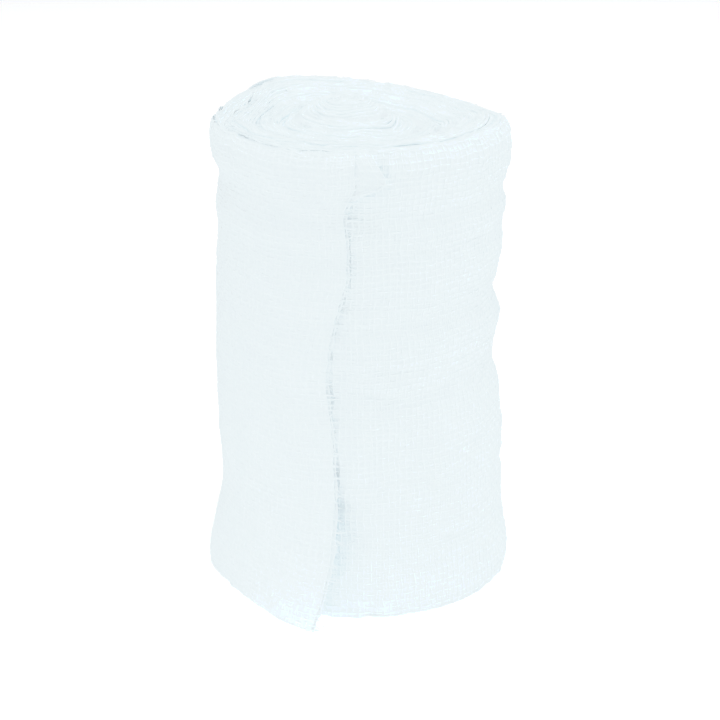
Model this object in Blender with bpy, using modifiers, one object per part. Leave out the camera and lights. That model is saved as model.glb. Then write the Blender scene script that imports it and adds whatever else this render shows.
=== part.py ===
"""A roll of gauze bandage standing on its end, with the loose end of the cloth open at the front left.

Metres, +Z up. The origin is on the roll's axis, on the surface that it stands on. The front, where the
cut edge of the cloth shows, faces -Y. Angles are in degrees from +X, anticlockwise seen from above.
The cloth winds outwards that way too, so one growing angle follows it from the middle to the cut edge.
"""
import math

import bmesh
import bpy

MM = 0.001

# Driving dimensions
CLOTH_WIDTH = 100 * MM        # width of the bandage, which is the height of the roll
ROLL_RADIUS = 30 * MM         # radius of the winding where its last whole turn ends
SHEET_THICKNESS = 1.0 * MM    # the loose end, two slack layers of gauze
CLEARANCE = 0.3 * MM          # air between the loose end and the roll
LAYER = SHEET_THICKNESS + CLEARANCE

# Winding
LIFT_ANGLE = 128.0            # where the loose end leaves the roll, at its back left
CORE_RADIUS = 3.0 * MM        # the tight first turns, flat at both ends
RELIEF_TURNS = 8              # turns that show in the end faces
ROWS_PER_TURN = 3             # the groove between two turns, then the two edges of a turn's land
TURN_STEPS = 56               # steps round one turn
RINGS = 38                    # rings up the side
TOP_GROOVE = 1.2 * MM
BASE_GROOVE = 0.8 * MM
TOP_ROUNDING = 0.5 * MM       # how far the rim's outer edge rounds off at the top
BASE_ROUNDING = 0.3 * MM      # and on the surface
TOP_CROWDING = 0.08           # how much closer together the rings are at the top

# The cloth's edges lean in over the ends of the roll, least at the back
# angle, lean at the top mm
TOP_LEANS = (
    (0, 0.6), (45, 0.2), (90, 0.1), (140, 0.3), (185, 1.3), (230, 1.6), (270, 1.6), (330, 1.3), (360, 0.6),
)
TOP_LEAN_HEIGHT = 4.5 * MM
BASE_LEAN = 0.3 * MM
BASE_LEAN_HEIGHT = 2.5 * MM
LOOSE_LEAN = 0.75             # the loose end leans in this much as far
LOOSE_LEAN_OVER = 30.0        # degrees over which it takes this on

# End faces
DISH_DEPTH = 1.8 * MM         # the ring between the middle and the rim sinks by this much
DISH_MIDDLE = 0.52            # where it is deepest, as a share of the radius
DISH_SPREAD = 0.34
DISH_ANGLE = 5.0              # the side where it sinks most
DISH_UNEVEN = 0.3             # and how much more it sinks there than on average
MOUND_HEIGHT = 2.6 * MM       # the middle turns are pushed up
MOUND_RADIUS = 10.0 * MM
MOUND_TOP = 4.0 * MM          # radius of its level top
MIDDLE_X = -3.3 * MM          # where the middle of the winding lies
MIDDLE_Y = -0.4 * MM
TURN_LIFTS = (0.5, -0.2, 0.4, -0.5, 0.1, -0.6, -0.1, 0.3, 0.0)    # mm, by turn from the middle

# The hollow at the top left, between the roll and its loose outer layer
POCKET_DEPTH = 4.6 * MM
POCKET_SPAN = 72.0            # degrees from the lift angle
POCKET_HEIGHT = 46 * MM       # down from the top

# Rim height, mm, by angle: the back right is wound lower than the back left
RIM_HEIGHTS = (
    (0, 99.2), (30, 97.3), (60, 98.0), (90, 99.8), (125, 101.6), (155, 100.6),
    (190, 100.0), (270, 100.0), (330, 100.1), (360, 99.2),
)

# Side of the roll: how far the cloth stands out from the plain winding, mm
# height, right, back, left, front
SIDE_SECTIONS = (
    (0.0, 3.0, 1.6, 0.9, 2.5),
    (5.0, 2.6, 1.5, 0.8, 2.1),
    (11.0, 1.8, 1.0, 0.4, 1.5),
    (16.5, 1.3, 0.7, -0.1, 0.9),
    (22.0, 1.1, 0.5, -0.4, 0.5),
    (27.0, 1.1, 0.4, -0.2, 0.6),
    (32.0, 0.9, 0.3, 0.2, 0.8),
    (37.0, 0.6, 0.3, 0.3, 0.5),
    (42.0, 0.1, 0.2, 0.4, 0.1),
    (47.4, -1.4, 0.0, 0.4, -0.4),
    (53.0, -0.8, 0.0, 0.3, 0.2),
    (58.5, -0.2, 0.1, 0.1, 0.5),
    (63.0, -1.5, 0.0, 0.1, -0.3),
    (69.0, -0.6, 0.1, -0.1, 0.2),
    (73.5, 0.3, 0.2, -0.5, 0.4),
    (77.5, -0.2, 0.1, -0.7, -0.1),
    (82.0, 0.6, 0.2, -0.4, 0.3),
    (85.5, -0.1, 0.0, -0.8, -0.2),
    (89.0, 0.9, 0.3, -1.2, 0.1),
    (93.0, 1.2, 0.8, 0.2, 0.5),
    (97.0, 1.3, 1.0, 0.7, 0.8),
    (100.0, 0.8, 0.7, 0.8, 0.4),
)

# Soft dents in the side, and swellings where the depth is below zero
# angle, height mm, half width degrees, half height mm, slant mm a degree, depth mm
DENTS = (
    (322, 52, 34, 9, -0.10, 0.7),
    (300, 84, 26, 7, -0.05, 0.5),
    (288, 36, 22, 10, 0.12, 0.6),
    (315, 20, 30, 8, -0.12, -0.5),
    (215, 62, 26, 22, 0.0, 0.4),
    (20, 30, 30, 9, -0.12, -0.5),
    (40, 66, 38, 10, 0.14, 0.9),
    (75, 42, 34, 8, -0.16, 0.8),
    (100, 80, 30, 8, 0.10, 0.6),
    (110, 22, 26, 9, 0.10, 0.6),
)

# Loose end: angle of the cut edge by height, with the lifted corner above 90 mm
# height mm, angle
CUT_EDGE = (
    (0, 254.8), (6, 257.0), (14, 259.6), (27, 260.1), (38, 259.1), (47, 256.9), (53, 256.6), (60, 258.0),
    (68, 261.3), (74, 264.4), (82, 264.1), (88, 264.4), (90.5, 268.5), (93, 277.4), (96.5, 275.6),
    (100, 271.8),
)
CORNER_LIFT = 1.3 * MM        # how far the corner's tip stands off the roll
CORNER_ANGLE = 277.0
CORNER_LEVEL = 93.5 * MM
CORNER_SPAN = 10.0            # degrees
CORNER_HEIGHT = 7.5 * MM
# Loose end on the floor: how far it stands off the roll
# angle, distance mm
FLOOR_FLARE = (
    (132, 0.0), (160, 1.2), (188, 2.0), (210, 0.6), (229, 1.3), (242, 3.6), (256, 6.9), (262, 7.4),
)
FLARE_HEIGHT_LEFT = 20 * MM
FLARE_HEIGHT_CUT = 36 * MM
FLARE_TALLER_FROM = 205.0     # the flare grows from the first height to the second
FLARE_TALLER_OVER = 50.0      # over these degrees
# Loose end: its top edge against the roll's rim
# angle, distance mm
TOP_EDGE = (
    (130, 0.1), (144, -0.7), (156, -1.3), (168, -1.1), (180, -1.1), (192, -0.1), (215, 0.3), (240, -0.3),
    (268, 0.2),
)
SHEET_FOOT = 0.12 * MM        # its outer face ends above the surface, as its inner face reaches lower
SHEET_COLUMNS = 32

# Colours of the two stretches of cloth, and the sharpest bend that is shaded smooth
WOUND_COLOUR = (0.90, 0.94, 0.95)
LOOSE_COLOUR = (0.93, 0.96, 0.97)
GAUZE_ROUGHNESS = 0.92
SMOOTH_ANGLE = 35.0


def ease(share):
    """A smooth step from 0 to 1."""
    share = min(max(share, 0.0), 1.0)
    return share * share * (3.0 - 2.0 * share)


def between(rows, key, column=1):
    """Read one column of a table at a key, on a smooth curve through its rows; the keys rise."""
    if key <= rows[0][0]:
        return rows[0][column]
    if key >= rows[-1][0]:
        return rows[-1][column]
    high = next(index for index, row in enumerate(rows) if row[0] > key)
    low = high - 1
    before, after = rows[max(low - 1, 0)], rows[min(high + 1, len(rows) - 1)]
    start, end = rows[low], rows[high]
    width = end[0] - start[0]
    start_slope = (end[column] - before[column]) / (end[0] - before[0])
    end_slope = (after[column] - start[column]) / (after[0] - start[0])
    share = (key - start[0]) / width
    rise = ease(share)
    lean_out = share * (1.0 - share) ** 2
    lean_in = share ** 2 * (1.0 - share)
    value = start[column] * (1.0 - rise) + end[column] * rise
    return value + width * (start_slope * lean_out - end_slope * lean_in)


def bump(distance):
    """A smooth hill, 1 in the middle and 0 from a distance of 1."""
    return ease(1.0 - abs(distance))


def side_offset(angle, level):
    """How far the cloth stands out from the plain winding; level is the height on an even roll."""
    quarter = (angle % 360.0) / 90.0
    first = int(quarter)
    share = ease(quarter - first)
    here = between(SIDE_SECTIONS, level / MM, 1 + first)
    there = between(SIDE_SECTIONS, level / MM, 1 + (first + 1) % 4)
    offset = (here + (there - here) * share) * MM
    for dent_angle, dent_level, half_width, half_height, slant, depth in DENTS:
        aside = (angle - dent_angle + 180.0) % 360.0 - 180.0
        above = level / MM - dent_level - slant * aside
        offset -= depth * MM * bump(aside / half_width) * bump(above / half_height)
    return offset


def rim_height(angle):
    """Height of the roll's upper rim."""
    return between(RIM_HEIGHTS, angle % 360.0) * MM


def top_lean(angle, level):
    """How far the cloth leans in at this height over the upper end."""
    rise = max(1.0 - (CLOTH_WIDTH - level) / TOP_LEAN_HEIGHT, 0.0)
    return between(TOP_LEANS, angle % 360.0) * MM * rise ** 2


def base_lean(level):
    """How far the cloth leans in at this height over the lower end."""
    return BASE_LEAN * max(1.0 - level / BASE_LEAN_HEIGHT, 0.0) ** 2


def pocket(turned, level):
    """Depth of the hollow behind the roll's loose outer layer."""
    across = bump(2.0 * turned / POCKET_SPAN - 1.0)
    return POCKET_DEPTH * across * ease(1.0 - (CLOTH_WIDTH - level) / POCKET_HEIGHT)


def cloth_radius(turned, level):
    """Outer face of the cloth this many degrees past the lift angle, from 0 to 360 on the roll itself."""
    plain = ROLL_RADIUS + LAYER * (turned / 360.0 - 1.0)
    angle = LIFT_ANGLE + turned
    loose = ease((turned - 360.0) / LOOSE_LEAN_OVER)
    lean = top_lean(angle, level) * (1.0 - (1.0 - LOOSE_LEAN) * loose)
    return plain + side_offset(angle, level) - lean


def roll_radius(turned, level):
    """Outer face of the roll under its loose end."""
    return cloth_radius(turned, level) - pocket(turned, level) - base_lean(level)


def turn_radius(turns):
    """Radius of the plain winding after a number of turns; the last turn adds one layer of cloth."""
    wound = ROLL_RADIUS - LAYER
    if turns >= RELIEF_TURNS:
        return wound + LAYER * (turns - RELIEF_TURNS)
    return CORE_RADIUS + (wound - CORE_RADIUS) * turns / RELIEF_TURNS


def around(radius, angle):
    return radius * math.cos(math.radians(angle)), radius * math.sin(math.radians(angle))


def end_place(row, step, level):
    """Where a point of the spiral lies on an end face, and how far out, as a share of the radius."""
    turned = 360.0 * step / TURN_STEPS
    edge = ROLL_RADIUS + LAYER * (turned / 360.0 - 1.0)
    plain = turn_radius(row / ROWS_PER_TURN + step / TURN_STEPS)
    outward = min(plain / edge, 1.0)
    angle = LIFT_ANGLE + turned
    lean = top_lean(angle, level) + base_lean(level)
    shift = roll_radius(turned, level) + lean - edge
    x, y = around(plain + shift * outward ** 2 - lean * outward ** 5, angle)
    inward = 1.0 - outward ** 2
    return x + MIDDLE_X * inward, y + MIDDLE_Y * inward, outward


def end_depth(row, step, groove, rounding):
    """How deep a point of the spiral lies: in a groove between two turns, or rounded off at the edge."""
    if row >= ROWS_PER_TURN * RELIEF_TURNS:
        return rounding
    if row % ROWS_PER_TURN:
        return 0.0
    turns = row / ROWS_PER_TURN + step / TURN_STEPS
    return groove * ease(turns - 1.0)


def turn_lift(turns):
    """How far this turn is pushed up or down against its neighbours."""
    turn = min(int(turns), len(TURN_LIFTS) - 2)
    share = min(turns - turn, 1.0)
    return (TURN_LIFTS[turn] * (1.0 - share) + TURN_LIFTS[turn + 1] * share) * MM


def top_point(row, step):
    """The upper end face: a rim that follows the winding, a dished ring, and a raised middle."""
    x, y, outward = end_place(row, step, CLOTH_WIDTH)
    angle = LIFT_ANGLE + 360.0 * step / TURN_STEPS
    rim = (rim_height(angle) - CLOTH_WIDTH) * outward ** 2
    sink = 1.0 + DISH_UNEVEN * math.cos(math.radians(angle - DISH_ANGLE))
    dish = DISH_DEPTH * sink * bump((outward - DISH_MIDDLE) / DISH_SPREAD)
    aside = math.hypot(x - MIDDLE_X, y - MIDDLE_Y)
    mound = MOUND_HEIGHT * ease((MOUND_RADIUS - aside) / (MOUND_RADIUS - MOUND_TOP))
    lift = turn_lift(row / ROWS_PER_TURN + step / TURN_STEPS)
    depth = end_depth(row, step, TOP_GROOVE, TOP_ROUNDING)
    return x, y, CLOTH_WIDTH + rim - dish + mound + lift - depth


def base_point(row, step):
    """The lower end face: every land is flat on the surface, and the grooves rise from it."""
    x, y, _outward = end_place(row, step, 0.0)
    return x, y, end_depth(row, step, BASE_GROOVE, BASE_ROUNDING)


def spiral_end(mesh, point, centre_height):
    """Build one end face on the spiral; a turn's last step meets the next turn's first one."""
    last_row = ROWS_PER_TURN * RELIEF_TURNS
    points = {}
    for step in range(TURN_STEPS):
        for row in range(last_row + 1):
            points[row, step] = mesh.verts.new(point(row, step))
    for row in range(last_row + 1, last_row + ROWS_PER_TURN + 1):
        points[row, 0] = mesh.verts.new(point(row, 0))

    def at(row, step):
        return points[row, step] if step < TURN_STEPS else points[row + ROWS_PER_TURN, 0]

    for step in range(TURN_STEPS):
        for row in range(last_row):
            mesh.faces.new((at(row, step), at(row + 1, step), at(row + 1, step + 1), at(row, step + 1)))
    centre = mesh.verts.new((MIDDLE_X, MIDDLE_Y, centre_height))
    inner = [at(0, step) for step in range(TURN_STEPS + 1)]
    inner += [at(row, 0) for row in range(ROWS_PER_TURN - 1, -1, -1)]
    for first, second in zip(inner, inner[1:]):
        mesh.faces.new((centre, first, second))
    outer = [at(last_row, step) for step in range(TURN_STEPS + 1)]
    seam = [at(last_row + row, 0) for row in range(ROWS_PER_TURN + 1)]
    return outer, seam


def ring_level(ring):
    """Height of a ring on an even roll; the rings close up towards the top."""
    share = ring / RINGS
    return CLOTH_WIDTH * (share + TOP_CROWDING * (share - share ** 8))


def side_point(ring, step):
    """A point on the side, where a ring meets one step of the last turn."""
    level = ring_level(ring)
    turned = 360.0 * step / TURN_STEPS
    angle = LIFT_ANGLE + turned
    x, y = around(roll_radius(turned, level), angle)
    return x, y, level * rim_height(angle) / CLOTH_WIDTH


def build_roll():
    """The wound bandage: two spiral ends, the side, and the step that the loose end leaves from."""
    mesh = bmesh.new()
    top_ring, top_seam = spiral_end(mesh, top_point, top_point(0, 0)[2])
    base_ring, base_seam = spiral_end(mesh, base_point, 0.0)
    rings = [base_ring]
    for ring in range(1, RINGS):
        rings.append([mesh.verts.new(side_point(ring, step)) for step in range(TURN_STEPS + 1)])
    rings.append(top_ring)
    for lower, upper in zip(rings, rings[1:]):
        for step in range(TURN_STEPS):
            mesh.faces.new((lower[step], lower[step + 1], upper[step + 1], upper[step]))
    for lower, upper in zip(rings[1:-1], rings[2:-1]):
        mesh.faces.new((lower[-1], lower[0], upper[0], upper[-1]))
    mesh.faces.new([rings[1][-1], rings[1][0]] + base_seam)
    mesh.faces.new([rings[-2][-1], rings[-2][0]] + top_seam)
    bmesh.ops.recalc_face_normals(mesh, faces=mesh.faces)
    return mesh


def flare(angle, level):
    """How far the lower part of the loose end stands off the roll."""
    taller = ease((angle - FLARE_TALLER_FROM) / FLARE_TALLER_OVER)
    height = FLARE_HEIGHT_LEFT + (FLARE_HEIGHT_CUT - FLARE_HEIGHT_LEFT) * taller
    return between(FLOOR_FLARE, angle) * MM * ease(1.0 - level / height)


def corner_lift(angle, level):
    """How far the small corner at the top of the cut edge stands off the roll."""
    across = bump((angle - CORNER_ANGLE) / CORNER_SPAN)
    return CORNER_LIFT * across * bump((level - CORNER_LEVEL) / CORNER_HEIGHT)


def sheet_point(ring, column):
    """Outer face of the loose end; its columns close up towards the wavy cut edge."""
    level = ring_level(ring)
    start = LIFT_ANGLE + math.degrees(2.0 * CLEARANCE / ROLL_RADIUS)
    angle = start + (between(CUT_EDGE, level / MM) - start) * column / SHEET_COLUMNS
    stand_off = flare(angle, level) + corner_lift(angle, level)
    x, y = around(cloth_radius(360.0 + angle - LIFT_ANGLE, level) + stand_off, angle)
    edge = rim_height(angle) + between(TOP_EDGE, angle) * MM
    return x, y, max(level * edge / CLOTH_WIDTH, SHEET_FOOT)


def build_loose_end():
    """The loose end of the bandage as an open sheet; Solidify gives it its thickness."""
    mesh = bmesh.new()
    rows = []
    for ring in range(RINGS + 1):
        rows.append([mesh.verts.new(sheet_point(ring, column)) for column in range(SHEET_COLUMNS + 1)])
    for lower, upper in zip(rows, rows[1:]):
        for column in range(SHEET_COLUMNS):
            mesh.faces.new((lower[column], lower[column + 1], upper[column + 1], upper[column]))
    return mesh


def gauze_material(name, colour):
    """Matt cotton."""
    material = bpy.data.materials.new(name)
    material.use_nodes = True
    shader = material.node_tree.nodes["Principled BSDF"]
    shader.inputs["Base Color"].default_value = (*colour, 1.0)
    shader.inputs["Roughness"].default_value = GAUZE_ROUGHNESS
    shader.inputs["Metallic"].default_value = 0.0
    return material


def place(mesh, name, material, collection):
    """Turn a bmesh into a named, smooth-shaded object."""
    data = bpy.data.meshes.new(name)
    mesh.to_mesh(data)
    mesh.free()
    data.materials.append(material)
    data.shade_smooth()
    data.set_sharp_from_angle(angle=math.radians(SMOOTH_ANGLE))
    part = bpy.data.objects.new(name, data)
    collection.objects.link(part)
    return part


def main():
    for old in list(bpy.data.objects):
        bpy.data.objects.remove(old)
    collection = bpy.data.collections.new("gauze_bandage_roll")
    bpy.context.scene.collection.children.link(collection)
    place(build_roll(), "roll", gauze_material("wound_gauze", WOUND_COLOUR), collection)
    sheet = place(build_loose_end(), "loose_end", gauze_material("loose_gauze", LOOSE_COLOUR), collection)
    solidify = sheet.modifiers.new("thickness", "SOLIDIFY")
    solidify.thickness = SHEET_THICKNESS
    solidify.offset = -1.0


main()
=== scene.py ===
"""The gauze bandage roll as it looks: wound cotton gauze, woven thread by thread on its outer layer.

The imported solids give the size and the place. Lengths here are in millimetres, in the same frame, and
mesh_object() turns them into metres; only the lights and the floor are given in metres. The cloth is one
long sheet: "turned" counts the degrees along it, 0 to 360 on the last whole turn of the roll, less than 0
on the turns inside, more than 360 on the loose end. "level" is the height on an even roll, 0 to 100.
"""
import math

import bmesh
import bpy
import numpy as np
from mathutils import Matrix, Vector


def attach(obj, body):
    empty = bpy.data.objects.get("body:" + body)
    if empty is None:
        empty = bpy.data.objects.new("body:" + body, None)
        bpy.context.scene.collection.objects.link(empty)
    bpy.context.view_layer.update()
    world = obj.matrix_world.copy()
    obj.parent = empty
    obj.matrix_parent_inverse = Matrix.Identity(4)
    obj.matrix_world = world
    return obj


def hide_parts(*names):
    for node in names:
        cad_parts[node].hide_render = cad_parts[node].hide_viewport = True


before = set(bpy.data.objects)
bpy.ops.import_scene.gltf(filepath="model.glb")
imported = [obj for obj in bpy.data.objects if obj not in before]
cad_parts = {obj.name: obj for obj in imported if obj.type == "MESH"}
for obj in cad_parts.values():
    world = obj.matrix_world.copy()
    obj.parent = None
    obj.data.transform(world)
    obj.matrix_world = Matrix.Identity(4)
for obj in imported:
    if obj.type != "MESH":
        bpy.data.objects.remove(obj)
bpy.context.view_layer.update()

MM = 0.001

# Driving sizes, as in the solids
CLOTH_WIDTH = 100.0
ROLL_RADIUS = 30.0
LAYER = 1.3                   # one turn: two slack plies and the air under them
LIFT_ANGLE = 128.0            # where the loose end leaves the roll

# End faces, as in the solids
RELIEF_TURNS = 8
CORE_RADIUS = 3.0
DISH_DEPTH = 1.8
DISH_MIDDLE = 0.52
DISH_SPREAD = 0.34
DISH_ANGLE = 5.0
DISH_UNEVEN = 0.3
MOUND_HEIGHT = 2.6
MOUND_RADIUS = 10.0
MOUND_TOP = 4.0
MIDDLE_X = -3.3
MIDDLE_Y = -0.4
TURN_LIFTS = (0.5, -0.2, 0.4, -0.5, 0.1, -0.6, -0.1, 0.3, 0.0)
TOP_GROOVE = 0.6
BASE_GROOVE = 0.8
GROOVE_SHARPNESS = 3.0        # a groove takes a third of a turn to each side
RELIEF_BEYOND = 0.3           # the grooves end this part of a turn past the last group
RELIEF_FADE = 0.4

# The hollow at the top left, between the roll and its loose outer layer
POCKET_DEPTH = 4.6
POCKET_SPAN = 72.0
POCKET_HEIGHT = 46.0

# angle, height of the rim
RIM_HEIGHTS = (
    (0, 99.2), (30, 97.3), (60, 98.0), (90, 99.8), (125, 101.6), (155, 100.6),
    (190, 100.0), (270, 100.0), (330, 100.1), (360, 99.2),
)

# height, and how far the cloth stands out at the right, back, left and front
SIDE_SECTIONS = (
    (0.0, 3.0, 1.6, 0.9, 2.5),
    (5.0, 2.6, 1.5, 0.8, 2.1),
    (11.0, 1.8, 1.0, 0.4, 1.5),
    (16.5, 1.3, 0.7, -0.1, 0.9),
    (22.0, 1.1, 0.5, -0.4, 0.5),
    (27.0, 1.1, 0.4, -0.2, 0.6),
    (32.0, 0.9, 0.3, 0.2, 0.8),
    (37.0, 0.6, 0.3, 0.3, 0.5),
    (42.0, 0.1, 0.2, 0.4, 0.1),
    (47.4, -1.4, 0.0, 0.4, -0.4),
    (53.0, -0.8, 0.0, 0.3, 0.2),
    (58.5, -0.2, 0.1, 0.1, 0.5),
    (63.0, -1.5, 0.0, 0.1, -0.3),
    (69.0, -0.6, 0.1, -0.1, 0.2),
    (73.5, 0.3, 0.2, -0.5, 0.4),
    (77.5, -0.2, 0.1, -0.7, -0.1),
    (82.0, 0.6, 0.2, -0.4, 0.3),
    (85.5, -0.1, 0.0, -0.8, -0.2),
    (89.0, 0.9, 0.3, -1.2, 0.1),
    (93.0, 1.2, 0.8, 0.2, 0.5),
    (97.0, 1.3, 1.0, 0.7, 0.8),
    (100.0, 0.8, 0.7, 0.8, 0.4),
)

# angle, height, half width in degrees, half height, slant in mm a degree, depth
DENTS = (
    (322, 52, 34, 9, -0.10, 0.7),
    (300, 84, 26, 7, -0.05, 0.5),
    (288, 36, 22, 10, 0.12, 0.6),
    (315, 20, 30, 8, -0.12, -0.5),
    (215, 62, 26, 22, 0.0, 0.4),
    (20, 30, 30, 9, -0.12, -0.5),
    (40, 66, 38, 10, 0.14, 0.9),
    (75, 42, 34, 8, -0.16, 0.8),
    (100, 80, 30, 8, 0.10, 0.6),
    (110, 22, 26, 9, 0.10, 0.6),
)

# Loose end. The under ply shows as the small lifted corner at the top of the cut edge.
# height, angle of the under ply's cut edge
CUT_EDGE = (
    (0, 254.8), (6, 257.0), (14, 259.6), (27, 260.1), (38, 259.1), (47, 256.9), (53, 256.6), (60, 258.0),
    (68, 261.3), (74, 264.4), (82, 264.1), (88, 264.4), (90.5, 268.5), (93, 277.4), (96.5, 275.6),
    (100, 271.8),
)
# height, angle of the upper ply's cut edge
UPPER_CUT = (
    (0, 254.8), (6, 257.0), (14, 259.6), (27, 260.1), (38, 259.1), (47, 256.9), (53, 256.6), (60, 258.0),
    (68, 261.3), (74, 264.4), (82, 264.1), (88, 264.0), (92.5, 267.9), (100, 267.4),
)
CUT_SETTLE = 0.62             # how far the last stretch before the cut edge sinks towards the roll
CUT_SETTLE_SPAN = 12.0        # degrees
CORNER_LIFT = 1.3
CORNER_ANGLE = 277.0
CORNER_LEVEL = 93.5
CORNER_SPAN = 10.0
CORNER_HEIGHT = 7.5
LIP_LIFT = 0.6                # the corner's cut edge curls out this much more
LIP_SPAN = 3.0                # degrees
# angle, how far the loose end stands off the roll on the floor
FLOOR_FLARE = (
    (132, 0.0), (160, 1.2), (188, 2.0), (210, 0.6), (229, 1.3), (242, 3.6), (256, 6.9), (262, 7.4),
)
FLARE_HEIGHT_LEFT = 20.0
FLARE_HEIGHT_CUT = 36.0
FLARE_TALLER_FROM = 205.0
FLARE_TALLER_OVER = 50.0
# angle, the loose end's top edge against the roll's rim
TOP_EDGE = (
    (130, 0.1), (144, -0.7), (156, -1.3), (168, -1.1), (180, -1.1), (192, -0.1), (215, 0.3), (240, -0.3),
    (268, 0.2),
)

# The cloth's edges lean in over the ends of the roll, least at the back
# angle, lean at the top
TOP_LEANS = (
    (0, 0.6), (45, 0.2), (90, 0.1), (140, 0.3), (185, 1.3), (230, 1.6), (270, 1.6), (330, 1.3), (360, 0.6),
)
TOP_LEAN_HEIGHT = 4.5
TOP_LEAN_DROP = 0.5           # how far the edge sinks as it leans in
TOP_DROP_SHARE = 0.15         # on the end face, over this share of the radius
BASE_LEAN = 0.3
BASE_LEAN_HEIGHT = 2.5
LOOSE_LEAN = 0.75             # the loose end leans in this much as far
LOOSE_LEAN_OVER = 30.0        # degrees over which it takes this on
SEAM_SPAN = 25.0              # degrees over which the roll's outline closes up after the loose end has left

# The fine unevenness of slack gauze. Each row of waves has a height, a wavelength and a seed.
SOFT_WAVES = ((0.12, 7.5, 11), (0.06, 3.2, 12))
CREASE_WAVES = ((0.17, 3.6, 13),)
CREASE_STRETCH = 0.25         # creases run on along the cloth and lie close together across
CREASE_ALONG = (1.0, -0.36)   # headings, along the cloth and upwards
CREASE_ACROSS = (0.34, 0.94)
PATCH_WAVES = ((0.7, 17.0, 16),)
PATCH_MIDDLE = 0.5            # how creased the cloth is on average
PLEAT_WAVES = ((0.20, 4.2, 14),)
PLEAT_SLANT = 0.12
PLEATS_FROM = 86.0            # small pleats under the rim, above this level
PLEATS_OVER = 9.0
FOOT_WAVES = ((0.14, 5.5, 15),)
FOOT_SLANT = 0.2
FOOT_HEIGHT = 9.0
LOOSE_TAUT = 0.55             # the loose end is this much smoother
LOOSE_TAUT_FROM = 372.0
LOOSE_TAUT_OVER = 20.0
RAGGED_WAVES = ((0.14, 3.0, 21),)
RAGGED_HEIGHT = 6.0           # the top edge's raggedness fades out over this height

# Weave
WEFT_PITCH = 1.27             # between the upright threads
WARP_PITCH = 1.25             # between the threads that run round the roll
WARP_RADIUS = 0.185
WEFT_RADIUS = 0.165
THREAD_FLATNESS = 0.66        # a thread's thickness against its width
THREAD_SIDES = 6
WEAVE_HEIGHT = 0.085          # how far a thread swings in and out
THREAD_DEPTH = 0.20           # the weave's middle, in from the cloth's outer face
THREAD_WAVES = ((0.16, 2.1, 31),)
FLOOR_CLEAR = 1.2             # the lowest threads' middles lie this many radii above the surface
WRAP_START = 112.0            # the woven threads begin here, under the loose end

# Camera, from the photograph's outline
CAMERA_DISTANCE = 403.0
CAMERA_HEIGHT = 205.0
CAMERA_PITCH = 21.6
LENS = 101.4
SENSOR = 36.0


# ---------------------------------------------------------------- curves and tables

def ease(share):
    share = np.clip(share, 0.0, 1.0)
    return share * share * (3.0 - 2.0 * share)


def bump(distance):
    return ease(1.0 - np.abs(distance))


def curve(rows, keys, column=1):
    """Read one column of a table on a smooth curve through its rows."""
    table = np.array(rows, float)
    xs, ys = table[:, 0], table[:, column]
    index = np.arange(len(xs))
    before = np.maximum(index - 1, 0)
    after = np.minimum(index + 1, len(xs) - 1)
    slopes = (ys[after] - ys[before]) / (xs[after] - xs[before])
    keys = np.clip(keys, xs[0], xs[-1])
    low = np.clip(np.searchsorted(xs, keys, side="right") - 1, 0, len(xs) - 2)
    width = xs[low + 1] - xs[low]
    share = (keys - xs[low]) / width
    rise = ease(share)
    lean = slopes[low] * share * (1.0 - share) ** 2 - slopes[low + 1] * share ** 2 * (1.0 - share)
    return ys[low] * (1.0 - rise) + ys[low + 1] * rise + width * lean


RIPPLE_SPREAD = (0.7, 1.5)    # the waves' lengths against the one that is asked for


def ripples(x, y, wavelength, seed, waves=7):
    """Smooth unevenness, mostly between -1 and 1, from a few waves with seeded headings."""
    rng = np.random.default_rng(seed)
    total = 0.0
    for _ in range(waves):
        heading, phase = rng.uniform(0.0, 2.0 * math.pi, 2)
        length = wavelength * rng.uniform(*RIPPLE_SPREAD)
        along = x * math.cos(heading) + y * math.sin(heading)
        total = total + np.sin(along * 2.0 * math.pi / length + phase)
    return total / math.sqrt(waves)


def unevenness(x, y, waves, seed=0):
    """The sum of several ripples, each with a height, a wavelength and its own seed to add."""
    return sum(height * ripples(x, y, wavelength, seed + own) for height, wavelength, own in waves)


# ---------------------------------------------------------------- the cloth's shape

def side_offset(angle, level):
    quarter = (angle % 360.0) / 90.0
    first = quarter.astype(int)
    share = ease(quarter - first)
    sides = np.stack([curve(SIDE_SECTIONS, level, 1 + side) for side in range(4)])
    here = np.take_along_axis(sides, first[None] % 4, 0)[0]
    there = np.take_along_axis(sides, (first[None] + 1) % 4, 0)[0]
    offset = here + (there - here) * share
    for dent_angle, dent_level, half_width, half_height, slant, depth in DENTS:
        aside = (angle - dent_angle + 180.0) % 360.0 - 180.0
        above = level - dent_level - slant * aside
        offset = offset - depth * bump(aside / half_width) * bump(above / half_height)
    return offset


def arc(turned):
    """Length along the cloth, in mm."""
    return np.radians(turned) * ROLL_RADIUS


def crinkle(turned, level):
    """The fine unevenness of slack gauze: soft dimples, slanting creases and small pleats under the rim."""
    along = arc(turned)
    soft = unevenness(along, level, SOFT_WAVES)
    patches = ease(PATCH_MIDDLE + unevenness(along, level, PATCH_WAVES))
    lengthways = CREASE_STRETCH * (CREASE_ALONG[0] * along + CREASE_ALONG[1] * level)
    crossways = CREASE_ACROSS[0] * along + CREASE_ACROSS[1] * level
    creases = patches * unevenness(lengthways, crossways, CREASE_WAVES)
    pleats = unevenness(along, PLEAT_SLANT * level, PLEAT_WAVES) * ease((level - PLEATS_FROM) / PLEATS_OVER)
    foot = unevenness(along, FOOT_SLANT * level, FOOT_WAVES) * ease(1.0 - level / FOOT_HEIGHT)
    taut = 1.0 - LOOSE_TAUT * ease((turned - LOOSE_TAUT_FROM) / LOOSE_TAUT_OVER)
    return (soft + creases) * taut + pleats + foot


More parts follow.
